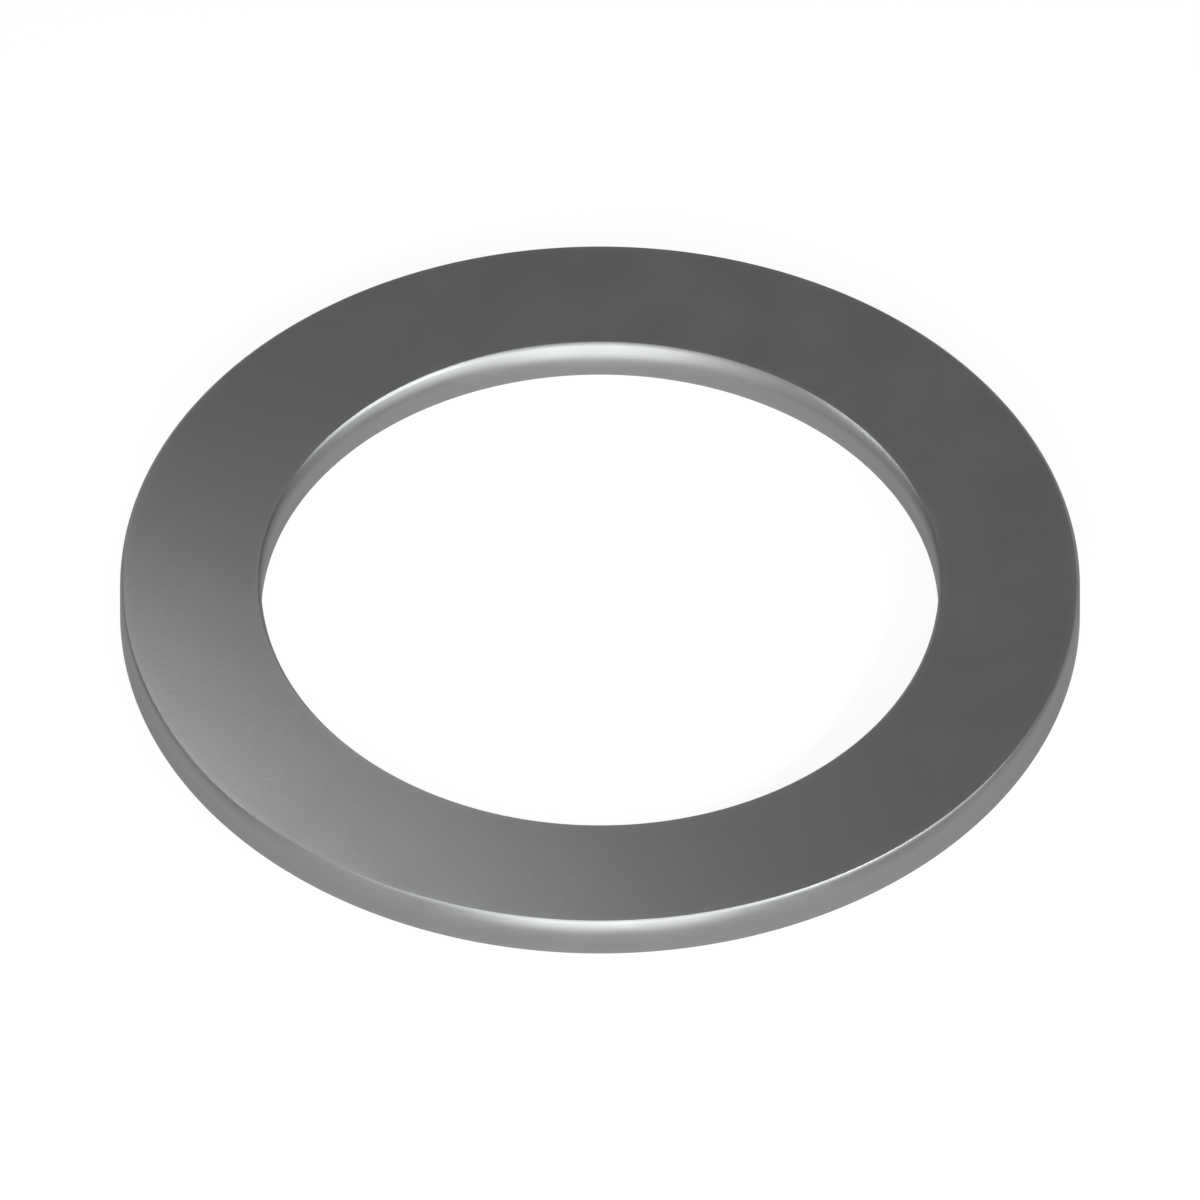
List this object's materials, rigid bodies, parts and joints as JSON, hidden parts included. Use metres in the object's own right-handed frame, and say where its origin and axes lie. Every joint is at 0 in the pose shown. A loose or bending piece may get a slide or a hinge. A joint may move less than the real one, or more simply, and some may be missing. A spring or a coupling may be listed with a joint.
{
  "type": "steering stem washer",
  "caption": "Flat steel ring with a plain round bore and 45 degree broken edges, lying under the nut on a fork's steering stem to spread its clamping load.",
  "frame": {"origin": "centre of the lower flat face, on the bore's axis, with the ring resting on z = 0", "axes": "+Z along the bore's axis, from the lower face to the upper one; the ring is round, so X and Y are any two square directions in the face"},
  "size_m": [0.035, 0.035, 0.0017],
  "materials": {
    "steel": "satin"
  },
  "bodies": {
    "root": {"washer": "steel"}
  },
  "joints": []
}
